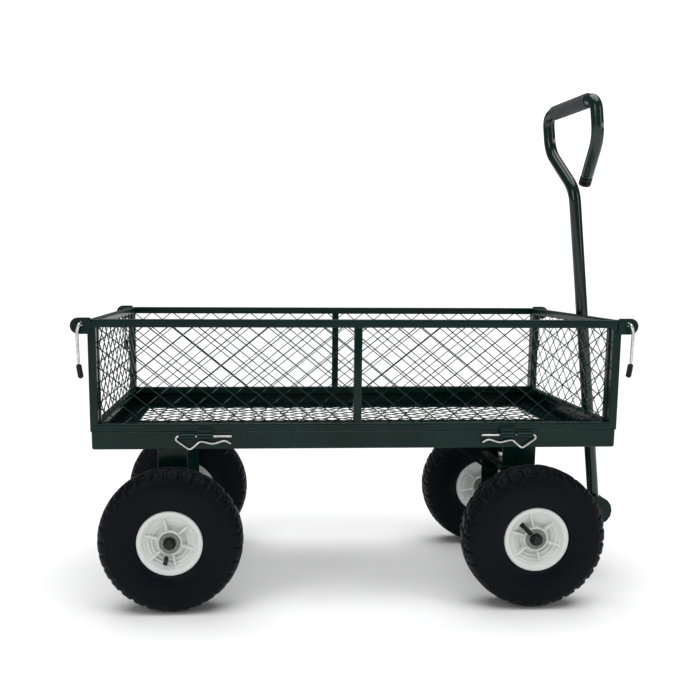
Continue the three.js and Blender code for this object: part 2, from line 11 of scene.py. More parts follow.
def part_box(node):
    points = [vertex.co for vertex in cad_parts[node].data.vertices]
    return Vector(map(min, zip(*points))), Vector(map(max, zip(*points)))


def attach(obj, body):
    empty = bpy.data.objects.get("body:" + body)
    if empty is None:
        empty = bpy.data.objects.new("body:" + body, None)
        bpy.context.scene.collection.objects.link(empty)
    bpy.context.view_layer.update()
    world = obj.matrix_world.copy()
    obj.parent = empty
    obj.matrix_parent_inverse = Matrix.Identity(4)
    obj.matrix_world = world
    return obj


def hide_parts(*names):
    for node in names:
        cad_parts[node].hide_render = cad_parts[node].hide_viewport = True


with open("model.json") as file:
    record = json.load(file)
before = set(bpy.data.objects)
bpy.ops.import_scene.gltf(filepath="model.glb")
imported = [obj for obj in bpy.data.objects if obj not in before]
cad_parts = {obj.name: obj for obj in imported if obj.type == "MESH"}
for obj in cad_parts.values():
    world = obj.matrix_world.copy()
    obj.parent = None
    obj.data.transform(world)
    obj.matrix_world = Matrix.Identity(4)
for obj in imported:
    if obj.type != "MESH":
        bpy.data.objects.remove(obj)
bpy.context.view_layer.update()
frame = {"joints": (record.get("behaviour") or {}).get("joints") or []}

# ------------------------------------------------------------------ sizes, in metres
MM = 0.001
HINGE_OUT = 0.0055  # hinge axis outside the deck's wall
HINGE_DROP = 0.007  # hinge axis below the top of the deck
HINGE_REACH = {"left": 0.281, "right": 0.281, "front": 0.121, "rear": 0.121}
KNUCKLE = 0.005  # radius of a hinge knuckle
KNUCKLE_BORE = 0.0023  # its bore's radius
KNUCKLE_LENGTH = 0.029
KNUCKLE_CHAMFER = 0.0006
SEAM_GAP = 0.001  # from the hinge's middle to either knuckle
SHEET = 0.0025  # thickness of the deck's sheet steel
SHEET_LIP = 0.0005  # chamfer of the deck wall's top
DECK_FOLD = 0.004  # outer radius of the fold between wall and ledge
DECK_CORNER = 0.005
SIDE_LEDGE = 0.030
END_LEDGE = 0.044
TUBE = 0.014  # square tube of the panels
TUBE_ROUND = 0.0021
PANEL_GAP = 0.0003  # panels above the top of the deck
DECK_BEAD = 0.0017  # radii of the weld beads
HINGE_BEAD = 0.0016
POST_BEAD = 0.0013
CLIP_WIRE = 0.00175  # radii of the wires
CLIP_BEND = 0.0055
LATCH_WIRE = 0.00275
LATCH_BEND = 0.005
LATCH_REACH = 0.010  # latch pin past the end of its side panel
LATCH_DROP = 0.0075  # latch pin below the top of the panels
LATCH_OUT = 0.0071  # the hanging wire outside the strap, less the bend
LATCH_IN = 0.016  # the pin's tip inside the deck's outer face
LATCH_FOOT = 0.1214  # the wire's lower end above the deck
LATCH_HOLE = 0.0036  # radius of the strap's hole
VINYL = 0.0048  # radius of the latch's sleeve
VINYL_TOP = 0.1206  # the sleeve's ends above the deck
VINYL_FOOT = 0.0958
LUG_HOLE = 0.0049  # half the width of the square hole
LUG_REACH = 0.0195  # lug's outer edge outside the deck's wall
LUG_FOOT = 0.1785  # lower edge of the lug above the deck
STRAP = 0.003  # thickness
STRAP_HEIGHT = 0.028
STRAP_OVERHANG = 0.028
STRAP_MIDDLE = 0.011  # middle of the strap below the top of the panels
STRAND = 0.0016  # width of a strand of expanded metal
STRAND_THICK = 0.0013
MESH_LAP = 0.004  # how far the mesh reaches over its frame
DIAMOND = (0.0433, 0.0335)  # length and height of one mesh opening
AXLE = 0.008  # radius
NUT = 0.0110  # axle nut's radius to its corners
WASHER = (0.0117, 0.0014)  # radius and thickness
SPLIT_PIN = 0.0011  # radius of its wire
VALVE = 0.0047  # radius of a valve stem
VALVE_FOOT = (0.0425, 0.0170)  # from the axle, and from the wheel's middle plane
VALVE_TIP = (0.0250, 0.0360)
HANDLE_TUBE = 0.0115  # radius
HANDLE_LENGTH = 0.813  # from the tow bolt up to the loop's cross bar
HANDLE_LEAN = math.radians(6.4)
HANDLE_TWIST = math.radians(10)
LOOP_FAR = 0.086  # the loop's two legs, from the pole
LOOP_NEAR = 0.097
LOOP_BEND = 0.026
GRIP = 0.0142  # radius of the foam
GRIP_START, GRIP_END = -0.071, 0.060  # along the loop's cross bar
GRIP_EDGE = 0.003  # length over which an end of the foam rounds off
END_CAP = 0.0118  # radius
HIGHLIGHT_REACH = 0.0085  # radius of a painted highlight patch
HIGHLIGHT_HEIGHT = 0.762  # up the handle

joints = {joint["name"]: joint for joint in frame["joints"]}
pivot = {name: np.array(joint["pos_m"]) for name, joint in joints.items() if "pos_m" in joint}

deck_low, deck_high = (np.array(corner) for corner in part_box("deck_frame"))
DECK_TOP = deck_high[2]
DECK_BOTTOM = deck_low[2]
HALF_LENGTH = (deck_high[0] - deck_low[0]) / 2 - HINGE_OUT - KNUCKLE
HALF_WIDTH = (deck_high[1] - deck_low[1]) / 2 - HINGE_OUT - KNUCKLE
DECK_X = (deck_high[0] + deck_low[0]) / 2
PANEL_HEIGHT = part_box("front_panel_frame")[1][2] - DECK_TOP
LATCH_HEIGHT = PANEL_HEIGHT - LATCH_DROP
WHEEL = pivot["rear_left_wheel_spin"][2]  # radius of a wheel


# ------------------------------------------------------------------ surfaces
def outward(verts, quads, tris):
    """The same shell with its faces pointing out: they are turned round where the volume,
    summed over the tetrahedra from the origin to each face, comes out negative."""
    flat = np.vstack([tris, quads[:, [0, 1, 2]], quads[:, [0, 2, 3]]])
    a, b, c = (verts[flat[:, i]] for i in range(3))
    if np.einsum("ij,ij->", a, np.cross(b, c)) < 0:
        quads, tris = quads[:, ::-1], tris[:, ::-1]
    return verts, quads, tris


def shell(points, loop=False):
    """The closed surface through a grid of points: each row is a closed ring, and the rows
    follow each other. The row of rings closes on itself when it is a loop, and otherwise
    each end ring is closed by a fan of triangles to its middle."""
    rings, around = points.shape[:2]
    index = np.arange(rings * around).reshape(rings, around)
    rows = np.append(index, index[:1], 0) if loop else index
    cells = np.append(rows, rows[:, :1], 1)
    corners = [cells[:-1, :-1], cells[1:, :-1], cells[1:, 1:], cells[:-1, 1:]]
    quads = np.stack(corners, -1).reshape(-1, 4)
    verts = points.reshape(-1, 3)
    tris = np.zeros((0, 3), int)
    if not loop:
        verts = np.vstack([verts, points[0].mean(0), points[-1].mean(0)])
        fans = []
        for ring, middle in ((index[0], len(verts) - 2), (index[-1][::-1], len(verts) - 1)):
            fans.append(np.stack([np.full(around, middle), ring, np.roll(ring, -1)], -1))
        tris = np.vstack(fans)
    return outward(verts, quads, tris)


def ring(radius, sides, phase=0.0):
    """Points of a circle in the plane: radius times the cosine and sine of equal steps."""
    turn = np.arange(sides) * 2 * np.pi / sides + phase
    return radius * np.stack([np.cos(turn), np.sin(turn)], -1)


def rounded_rectangle(low, high, radius, steps=4):
    """Outline between two corners, with a quarter circle at each corner and a second point
    close to each end of the arcs, which keeps the flats flat when they are shaded."""
    hold = min(radius, (min(high[0] - low[0], high[1] - low[1]) - 2 * radius) / 2) * 0.4
    points = []
    for k, (cx, cy) in enumerate([(1, 1), (0, 1), (0, 0), (1, 0)]):
        middle = np.array([
            high[0] - radius if cx else low[0] + radius,
            high[1] - radius if cy else low[1] + radius,
        ])
        turn = np.linspace(0, np.pi / 2, steps + 1) + k * np.pi / 2
        arc = middle + radius * np.stack([np.cos(turn), np.sin(turn)], -1)
        before = arc[0] - hold * np.array([-np.sin(turn[0]), np.cos(turn[0])])
        after = arc[-1] + hold * np.array([-np.sin(turn[-1]), np.cos(turn[-1])])
        points.append(np.vstack([before, arc, after]))
    return np.vstack(points)


def block(low, high, radius=0.0006):
    """A box with rounded edges: a rounded outline in X and Y, carried up Z through a quarter
    circle of insets at each end."""
    low, high = np.array(low, float), np.array(high, float)
    turn = np.linspace(0, np.pi / 2, 4)
    insets = radius * (1 - np.sin(turn))
    drops = radius * (1 - np.cos(turn))
    rows = []
    for inset, height in [
        *zip(insets, low[2] + drops),
        *zip(insets[::-1], high[2] - drops[::-1]),
    ]:
        outline = rounded_rectangle(low[:2] + inset, high[:2] - inset, radius)
        rows.append(np.column_stack([outline, np.full(len(outline), height)]))
    return shell(np.array(rows))


def bent(corners, reach, steps=8):
    """A route of straight runs. At each corner it leaves the run at the given reach, and
    follows the parabola that touches both runs."""
    corners = np.array(corners, float)
    share = np.linspace(0, 1, steps + 1)[:, None]
    points = [corners[:1]]
    for before, corner, after in zip(corners[:-2], corners[1:-1], corners[2:]):
        back, on = before - corner, after - corner
        most = min(reach, np.linalg.norm(back) / 2, np.linalg.norm(on) / 2)
        enter = corner + back / np.linalg.norm(back) * most
        leave = corner + on / np.linalg.norm(on) * most
        points.append(
            enter * (1 - share) ** 2 + 2 * corner * share * (1 - share) + leave * share**2
        )
    points.append(corners[-1:])
    path = np.vstack(points)
    keep = np.append(True, np.linalg.norm(np.diff(path, axis=0), axis=1) > 1e-6)
    return path[keep]


def swept(path, section, hint, scale=None):
    """Rings of a flat section carried along a path. At each point the section's plane is
    square to the path, and its first axis is the hint made square to the path."""
    run = np.gradient(path, axis=0)
    run /= np.linalg.norm(run, axis=1)[:, None]
    first = hint - (run @ hint)[:, None] * run
    first /= np.linalg.norm(first, axis=1)[:, None]
    second = np.cross(run, first)
    scale = np.ones(len(path)) if scale is None else scale
    across = section[None, :, :1] * first[:, None] + section[None, :, 1:] * second[:, None]
    return path[:, None] + across * scale[:, None, None]


def wire(path, radius, hint, sides=12):
    """A round wire along a path. Its last rings shrink by a quarter circle, so that each end
    is a dome with a flat tip."""
    turn = np.linspace(0, np.pi / 2 - 0.35, 4)
    dome = radius * np.sin(turn)
    start = path[0] - path[1]
    end = path[-1] - path[-2]
    start /= np.linalg.norm(start)
    end /= np.linalg.norm(end)
    path = np.vstack([
        path[0] + start * (dome[::-1, None] - dome[-1]),
        path[1:-1],
        path[-1] + end * (dome[:, None] - dome[-1]),
    ])
    scale = np.concatenate([np.cos(turn[::-1]), np.ones(len(path) - 8), np.cos(turn)])
    return shell(swept(path, ring(radius, sides), np.array(hint, float), scale))


def turned(profile, sides, place, loop=False):
    """A profile of (radius, distance along the axis) points turned about an axis: each
    point's ring is radius times (cosine, sine) in the plane across the axis."""
    profile = np.array(profile, float)
    circle = ring(1.0, sides)
    rows = np.zeros((len(profile), sides, 3))
    rows[..., 0] = profile[:, :1] * circle[:, 0]
    rows[..., 1] = profile[:, 1:]
    rows[..., 2] = profile[:, :1] * circle[:, 1]
    return shell(place(rows), loop)


def hexagon_nut(radius, low, high, bore, place):
    """A hexagon prism about the axis whose corners are cut by a cone at both ends: each
    radius is the smaller of the hexagon's and the cone's. The bore closes it as a ring."""
    turn = np.arange(48) * 2 * np.pi / 48
    flat = radius * math.cos(math.pi / 6)
    sector = (turn + np.pi / 6) % (np.pi / 3) - np.pi / 6
    hexagon = flat / np.cos(sector)
    chamfer = (radius - flat) * 0.6
    rows = []
    for height, cone, hole in [
        (low, bore, True),
        (low, flat * 0.97, False),
        (low + chamfer * 0.5, radius, False),
        (high - chamfer * 0.5, radius, False),
        (high, flat * 0.97, False),
        (high, bore + 0.0007, True),
        (high - 0.0007, bore, True),
    ]:
        reach = np.full(48, cone) if hole else np.minimum(hexagon, cone)
        rows.append(
            np.stack([reach * np.cos(turn), np.full(48, height), reach * np.sin(turn)], -1)
        )
    return shell(place(np.array(rows)), loop=True)


def holed_plate(outline, hole, low, high, place, edge=0.0005):
    """A flat plate with one round hole. The rings run from the hole's edge out over one face,
    round the rim with a small chamfer, and back over the other face to the hole."""
    turn = np.arctan2(outline[:, 1], outline[:, 0])
    circle = np.stack([np.cos(turn), np.sin(turn)], -1)
    inner = outline * (1 - edge / np.linalg.norm(outline, axis=1))[:, None]
    rows = []
    for flat, height in [
        (circle * (hole + edge), low),
        (inner, low),
        (outline, low + edge),
        (outline, high - edge),
        (inner, high),
        (circle * (hole + edge), high),
        (circle * hole, high - edge),
        (circle * hole, low + edge),
    ]:
        rows.append(np.stack([flat[:, 0], np.full(len(flat), height), flat[:, 1]], -1))
    return shell(place(np.array(rows)), loop=True)


def expanded_metal(length, height, place, wave=0.0):
    """A sheet of expanded metal. A strand joins each pair of neighbouring knots: it leaves a
    knot level, beside the strand that leaves with it, climbs straight to the next
    row of knots, and its flat section tilts most at its middle. All strands are worked out
    together from the grid of knots. The whole sheet waves gently out of its plane."""
    across = max(2, round(2 * length / DIAMOND[0]))
    up = max(2, round(2 * height / DIAMOND[1]))
    i, j = np.meshgrid(np.arange(across), np.arange(up), indexing="ij")
    rising = ((i + j) % 2 == 0).ravel()
    step = np.array([length / across, height / up])
    start_x = (i.ravel() - across / 2) * step[0]
    start_y = (j.ravel() + np.where(rising, 0, 1) - up / 2) * step[1]
    sign = np.where(rising, 1.0, -1.0)[:, None]
    share = np.array([0, 0.1, 0.24, 0.5, 0.76, 0.9, 1.0])
    climb = np.clip((share - 0.04) / 0.92, 0, 1)
    x = start_x[:, None] + share * step[0]
    y = start_y[:, None] + sign * (climb * step[1] + STRAND * 0.42 * (1 - 2 * share))
    z = wave * np.sin(x * 31 + 1) * np.sin(y * 43 + x * 9)
    path = np.stack([x, y, z], -1)
    run = np.gradient(path, axis=1)
    run /= np.linalg.norm(run, axis=-1, keepdims=True)
    side = np.cross(np.broadcast_to([0.0, 0.0, 1.0], run.shape), run)
    side /= np.linalg.norm(side, axis=-1, keepdims=True)
    normal = np.cross(run, side)
    tilt = sign * 0.5 * np.sin(np.pi * share)
    cos, sin = np.cos(tilt)[..., None], np.sin(tilt)[..., None]
    wide = side * cos + normal * sin
    thick = normal * cos - side * sin
    corners = [(1, 1), (-1, 1), (-1, -1), (1, -1)]
    points = np.stack(
        [path + wide * STRAND / 2 * a + thick * STRAND_THICK / 2 * b for a, b in corners], 2
    )
    strands, rings, around = points.shape[:3]
    verts = place(points.reshape(-1, 3))
    index = np.arange(len(verts)).reshape(strands, rings, around)
    ahead = np.roll(index, -1, 2)
    faces = [index[:, :-1], index[:, 1:], ahead[:, 1:], ahead[:, :-1]]
    quads = np.stack(faces, -1).reshape(-1, 4)
    caps = np.vstack([index[:, 0, ::-1], index[:, -1]])
    quads = np.vstack([quads, caps[:, ::-1]])
    return outward(verts, quads, np.zeros((0, 3), int))


# ------------------------------------------------------------------ pieces
def piece(name, shells, body, finish, replaces=(), crease=32):
    """One object of closed shells, smooth apart from edges sharper than the crease."""
    verts, faces, offset = [], {3: [], 4: []}, 0
    for points, quads, tris in shells:
        verts.append(points)
        faces[4].append(quads + offset)
        faces[3].append(tris + offset)
        offset += len(points)
    quads, tris = np.vstack(faces[4]), np.vstack(faces[3])
    mesh = bpy.data.meshes.new(name)
    mesh.vertices.add(offset)
    mesh.vertices.foreach_set("co", np.vstack(verts).astype(np.float32).ravel())
    corners = np.concatenate([quads.ravel(), tris.ravel()])
    mesh.loops.add(len(corners))
    mesh.loops.foreach_set("vertex_index", corners.astype(np.int32))
    sizes = np.concatenate([np.full(len(quads), 4), np.full(len(tris), 3)])
    mesh.polygons.add(len(sizes))
    starts = np.concatenate([[0], np.cumsum(sizes)[:-1]])
    mesh.polygons.foreach_set("loop_start", starts.astype(np.int32))
    mesh.update(calc_edges=True)
    mesh.validate()
    mesh.polygons.foreach_set("use_smooth", np.ones(len(mesh.polygons), bool))
    mesh.set_sharp_from_angle(angle=math.radians(crease))
    mesh.materials.append(finish)
    made = bpy.data.objects.new(name, mesh)
    bpy.context.scene.collection.objects.link(made)
    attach(made, body)
    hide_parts(*replaces)
    return made


class Edge:
    """One edge of the deck: u runs along it, v into the bed and w up, from the middle of its
    outer face at the top of the deck."""

    def __init__(self, name, along, origin, half):
        self.name, self.half = name, half
        self.along = np.array([*along, 0.0])
        self.inward = np.array([-along[1], along[0], 0.0])
        self.origin = np.array(origin)
        self.seam = HINGE_REACH[name]
        self.side = name in ("left", "right")

    def place(self, points):
        """Points given as (u, v, w), in the cart's frame."""
        up = np.array([0.0, 0.0, 1.0])
        return (
            self.origin
            + points[..., :1] * self.along
            + points[..., 1:2] * self.inward
            + points[..., 2:] * up
        )

    def put(self, made):
        """A finished shell given in (u, v, w), moved to the cart's frame."""
        verts, quads, tris = made
        return outward(self.place(verts), quads, tris)


side_half = (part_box("left_panel_frame")[1][0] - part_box("left_panel_frame")[0][0]) / 2
side_half -= STRAP_OVERHANG
end_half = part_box("front_panel_frame")[1][1]
edges = [
    Edge("left", (-1, 0), (DECK_X, HALF_WIDTH, DECK_TOP), side_half),
    Edge("right", (1, 0), (DECK_X, -HALF_WIDTH, DECK_TOP), side_half),
    Edge("front", (0, 1), (DECK_X + HALF_LENGTH, 0, DECK_TOP), end_half),
    Edge("rear", (0, -1), (DECK_X - HALF_LENGTH, 0, DECK_TOP), end_half),
]


def along_u(points):
    """Turned points, whose axis is Y, laid with that axis along u."""
    return points[..., [1, 0, 2]]


def knuckle(edge, near, far, hand):
    """A pipe on the hinge axis, with chamfered ends."""
    low, high = sorted((hand * near, hand * far))
    cut = KNUCKLE_CHAMFER
    profile = [
        (KNUCKLE_BORE, low + cut),
        (KNUCKLE_BORE + cut, low),
        (KNUCKLE - cut, low),
        (KNUCKLE, low + cut),
        (KNUCKLE, high - cut),
        (KNUCKLE - cut, high),
        (KNUCKLE_BORE + cut, high),
        (KNUCKLE_BORE, high - cut),
    ]
    axis = np.array([0, -HINGE_OUT, -HINGE_DROP])
    return turned(profile, 24, lambda p: edge.place(along_u(p) + axis), loop=True)


def weld_bead(path, radius, hint):
    """A weld bead: a wire whose radius swells and shrinks in even ripples along its run."""
    steps = max(8, int(np.linalg.norm(path[-1] - path[0]) / (radius * 0.7)))
    share = np.linspace(0, 1, steps)[:, None]
    run = path[0] * (1 - share) + path[-1] * share
    ripple = 1 + 0.16 * np.cos(np.arange(steps) * np.pi)
    ripple[[0, -1]] *= 0.55
    return shell(swept(run, ring(radius, 8), np.array(hint, float), ripple))


def lean(points):
    """Handle points, turned back about the tow bolt by the handle's lean."""
    x, y, z = points[..., 0], points[..., 1], points[..., 2]
    cos, sin = math.cos(HANDLE_LEAN), math.sin(HANDLE_LEAN)
    return np.stack([x * cos - z * sin, y, x * sin + z * cos], -1) + pivot["handle_tilt"]


def loop_point(across, up):
    """A point of the handle's loop, whose plane is turned a little about the pole."""
    return (-across * math.sin(HANDLE_TWIST), across * math.cos(HANDLE_TWIST), up)


# the middles of the painted highlight patches, one on the outside of each leg of the loop
HIGHLIGHT_SPOTS = [
    tuple(float(c) for c in lean(np.array(loop_point(across, HIGHLIGHT_HEIGHT))) + [out, -0.009, 0])
    for across, out in ((-LOOP_NEAR, 0.009), (LOOP_FAR, 0.009))
]


# ------------------------------------------------------------------ shader nodes
class Wire:
    """An output of a node, on which arithmetic adds the Math node that works it out."""

    def __init__(self, tree, socket):
        self.tree, self.socket = tree, socket

    def add(self, kind, settings=None, **inputs):
        """A new node of this kind: its settings first, then its inputs, by name with
        underscores for spaces, each a value or a wire. It gives the first output."""
        node = self.tree.nodes.new(kind)
        for key, value in (settings or {}).items():
            setattr(node, key, value)
        for key, value in inputs.items():
            at = int(key[1:]) if key[0] == "i" and key[1:].isdigit() else key.replace("_", " ")
            if isinstance(value, Wire):
                self.tree.links.new(value.socket, node.inputs[at])
            else:
                node.inputs[at].default_value = value
        live = [socket for socket in node.outputs if socket.enabled]
        return Wire(self.tree, live[0])

    def out(self, name):
        """Another output of the same node, by its name or number."""
        return Wire(self.tree, self.socket.node.outputs[name])

    def math(self, operation, *values):
        """The Math node with this operation, on values or wires."""
        sockets = {f"i{k}": value for k, value in enumerate(values)}
        return self.add("ShaderNodeMath", {"operation": operation}, **sockets)

    def __add__(self, other):
        return self.math("ADD", self, other)

    def __radd__(self, other):
        return self.math("ADD", other, self)

    def __sub__(self, other):
        return self.math("SUBTRACT", self, other)

    def __rsub__(self, other):
        return self.math("SUBTRACT", other, self)

    def __mul__(self, other):
        return self.math("MULTIPLY", self, other)

    def __rmul__(self, other):
        return self.math("MULTIPLY", other, self)

    def range(self, low, high, to_low=0.0, to_high=1.0):
        """This value taken from one range to another, and held inside it."""
        return self.add(
            "ShaderNodeMapRange",
            {"interpolation_type": "SMOOTHSTEP"},
            Value=self, From_Min=low, From_Max=high, To_Min=to_low, To_Max=to_high,
        )

    def noise(self, size, detail=2.0):
        """Noise over this place, whose patches are about the given size across."""
        return self.add("ShaderNodeTexNoise", Vector=self, Scale=1 / size, Detail=detail)


def mixed(mask, first, second):
    """A colour between two, by a mask from 0 to 1."""
    first, second = (c if isinstance(c, Wire) else (*c, 1) for c in (first, second))
    mix = mask.add("ShaderNodeMix", {"data_type": "RGBA"}, i0=mask, i6=first, i7=second)
    return mix.out(2)


def finish(name, color, rough, build=None, **uniform):
    """A material: a Principled surface with uniform values, and a build step that adds what
    varies from the place on the object."""
    made = bpy.data.materials.new(name)
    made.use_nodes = True
    tree = made.node_tree
    surface = next(n for n in tree.nodes if n.type == "BSDF_PRINCIPLED")
    surface.inputs["Base Color"].default_value = (*color, 1)
    surface.inputs["Roughness"].default_value = rough
    for key, value in uniform.items():
        surface.inputs[key.replace("_", " ")].default_value = value
    place = Wire(tree, None).add("ShaderNodeTexCoord").out("Object")
    for key, wire_in in (build(place, color, rough) if build else {}).items():
        tree.links.new(wire_in.socket, surface.inputs[key.replace("_", " ")])
    return made


def bumped(height, distance, strength=0.5):
    """A normal that follows this height."""
    return height.add("ShaderNodeBump", Strength=strength, Distance=distance, Height=height)


def paint(place, color, rough):
    """Sprayed gloss paint: slow changes of tone, a little dust, and a slight orange peel."""
    cloud = place.noise(0.12)
    dust = place.noise(0.004, 3).range(0.55, 0.75)
    tone = mixed(cloud.range(0.3, 0.7), color, [c * 1.5 + 0.001 for c in color])
    peel = place.noise(0.0035, 1)
    return {
        "Base_Color": mixed(dust * 0.04, tone, (0.06, 0.09, 0.07)),
        "Roughness": rough + cloud * 0.10 + dust * 0.10,
        "Normal": bumped(peel, 0.0002, 0.25),
    }


def plated(place, color, rough):
    """Zinc or steel: small bright and dull patches, with fine brushed scratches."""
    patch = place.noise(0.006, 3)
    stretch = place.add("ShaderNodeVectorMath", {"operation": "MULTIPLY"}, i0=place,
                        i1=(1.0, 1.0, 12.0))
    scratch = stretch.noise(0.004, 3)
    return {
        "Base_Color": mixed(patch.range(0.35, 0.65), color, [c * 0.78 for c in color]),
        "Roughness": rough + patch * 0.14,
        "Normal": bumped(scratch, 0.0001, 0.25),
    }


def plastic(place, color, rough):
    """Moulded plastic: a faint mottle and grime, and a fine grain."""
    grime = place.noise(0.03, 4).range(0.5, 0.8)
    return {
        "Base_Color": mixed(grime * 0.35, color, [c * 0.82 for c in color]),
        "Roughness": rough + grime * 0.15,
        "Normal": bumped(place.noise(0.0012, 2), 0.0001, 0.3),
    }


def rubber(place, color, rough):
    """Rubber: matt, with pale dusty patches and a fine grain."""
    dust = place.noise(0.04, 5).range(0.45, 0.8)
    return {
        "Base_Color": mixed(dust * 0.4, color, [c * 1.5 + 0.0012 for c in color]),
        "Roughness": rough + dust * 0.15,
        "Normal": bumped(place.noise(0.0016, 3), 0.0002, 0.35),
    }


def foam(place, color, rough):
    """Closed-cell foam: small dimples over a slow change of tone."""
    cells = place.add("ShaderNodeTexVoronoi", Vector=place, Scale=900.0)
    tone = place.noise(0.02, 3)
    return {
        "Base_Color": mixed(tone.range(0.35, 0.7), color, [c * 1.35 for c in color]),
        "Roughness": rough + tone * 0.1,
        "Normal": bumped(cells, 0.0006, 0.5),
    }


def painted_highlights(place, color, rough):
    """Handle paint with a painted highlight: a pale streak on the outside of each leg of the
    loop, where the distance from the streak's middle, less a little noise, is short."""
    made = paint(place, color, rough)
    sheen = None
    for middle in HIGHLIGHT_SPOTS:
        away = place.add("ShaderNodeVectorMath", {"operation": "DISTANCE"}, i0=place,
                         i1=middle).out("Value")
        near = (away + place.noise(0.004) * 0.004).range(HIGHLIGHT_REACH, HIGHLIGHT_REACH * 0.6)
        sheen = near if sheen is None else sheen + near
    # painted highlight: a pale colour mixed into the handle paint over each streak
    made["Base_Color"] = mixed(sheen * 0.7, made["Base_Color"], (0.35, 0.38, 0.30))
    return made


green = finish("Green paint", (0.0007, 0.0112, 0.0080), 0.17, paint, Coat_Weight=0.10,
               Coat_Roughness=0.08, Specular_IOR_Level=0.12)
zinc = finish("Zinc plate", (0.66, 0.67, 0.66), 0.28, plated, Metallic=1.0)
bearing = finish("Bearing steel", (0.24, 0.25, 0.235), 0.36, plated, Metallic=0.6)
steel = finish("Axle steel", (0.022, 0.022, 0.023), 0.34, plated, Metallic=0.7)
black = finish("Black steel", (0.009, 0.009, 0.0095), 0.3, plated, Metallic=0.4)
handle_green = finish("Handle paint", (0.0007, 0.0112, 0.0080), 0.13, painted_highlights,
                      Coat_Weight=0.3, Coat_Roughness=0.05, Specular_IOR_Level=0.3)
white = finish("White plastic", (0.68, 0.69, 0.68), 0.34, plastic)
tread = finish("Tyre rubber", (0.0016, 0.0026, 0.0050), 0.45, rubber, Specular_IOR_Level=0.09)
stem = finish("Valve rubber", (0.0035, 0.0035, 0.004), 0.45, rubber, Specular_IOR_Level=0.25)
vinyl = finish("Black vinyl", (0.004, 0.004, 0.0045), 0.4, plastic, Specular_IOR_Level=0.25)
foamed = finish("Grip foam", (0.034, 0.041, 0.045), 0.75, foam)


# ------------------------------------------------------------------ deck and panels
def mitred(inset_x, inset_y, depth, half_x, half_y, corner=0.0022, steps=3, hold=0.004):
    """Rings of a section carried round a rectangle. Each section point lies inside the outline
    by its own inset, and turns each corner on an arc whose radius is what is left of the
    corner's. A ring close to each end of the arcs keeps the straight runs flat."""
    left = np.maximum(corner - np.minimum(inset_x, inset_y), 0.0003)
    rows = []
    for k, (sx, sy) in enumerate([(1, 1), (-1, 1), (-1, -1), (1, -1)]):
        arcs = []
        for turn in np.linspace(0, np.pi / 2, steps + 1) + k * np.pi / 2:
            x = sx * (half_x - inset_x - left) + left * math.cos(turn)
            y = sy * (half_y - inset_y - left) + left * math.sin(turn)
            arcs.append(np.stack([x, y, depth], -1))
        first, last = k * np.pi / 2, (k + 1) * np.pi / 2
        before = arcs[0] - hold * np.array([-math.sin(first), math.cos(first), 0])
        after = arcs[-1] + hold * np.array([-math.sin(last), math.cos(last), 0])
        rows += [before, *arcs, after]
    return np.array(rows)


def folded_deck():
    """The deck's rim: a wall folded at its foot into a ledge, as an outline of the wall's and
    the ledge's faces that is carried round the deck with mitred corners."""
    height = DECK_TOP - DECK_BOTTOM
    fold = DECK_FOLD
    turn = np.linspace(0, np.pi / 2, 6)
    outer = np.stack([fold - fold * np.cos(turn), fold - height - fold * np.sin(turn)], -1)
    tight = fold - SHEET
    inner = np.stack([fold - tight * np.cos(turn), fold - height - tight * np.sin(turn)], -1)
    lip = SHEET_LIP
    wall = [(SHEET, -0.003), (SHEET, -lip), (SHEET - lip, 0), (lip, 0), (0, -lip), (0, -0.003)]
    hold = 0.002
    section = np.vstack([
        wall, [(0, outer[0][1] + hold)], outer, [(fold + hold, -height)],
        [(-1, -height), (-1, SHEET - height)],
        [(fold + hold, SHEET - height)], inner[::-1], [(SHEET, inner[0][1] + hold)],
    ])
    ledge = section[:, 0] < 0
    inset_x = np.where(ledge, END_LEDGE, section[:, 0])
    inset_y = np.where(ledge, SIDE_LEDGE, section[:, 0])
    rings = mitred(inset_x, inset_y, section[:, 1], HALF_LENGTH, HALF_WIDTH, DECK_CORNER, 4)
    return shell(rings + np.array([DECK_X, 0, DECK_TOP]), loop=True)


deck_parts = [folded_deck()]
for edge in edges:
    for hand in (-1, 1):
        near, far = edge.seam + SEAM_GAP, edge.seam + SEAM_GAP + KNUCKLE_LENGTH
        deck_parts.append(knuckle(edge, near, far, hand))
        for lift in (-0.0115, -0.0028):
            ends = np.array([(hand * (near + 0.001), -0.0008, lift),
                             (hand * (far - 0.001), -0.0008, lift)])
            deck_parts.append(edge.put(weld_bead(ends, DECK_BEAD, (0, 0, 1))))
piece("folded_deck", deck_parts, "chassis", green, ["deck_frame"])

floor_low, floor_high = (np.array(corner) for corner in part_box("floor_mesh"))
floor_middle = (floor_low + floor_high) / 2
sheet = expanded_metal(
    *(floor_high - floor_low)[:2], lambda p: p + floor_middle, wave=0.0004
)
piece("floor_diamonds", [sheet], "chassis", green, ["floor_mesh"])


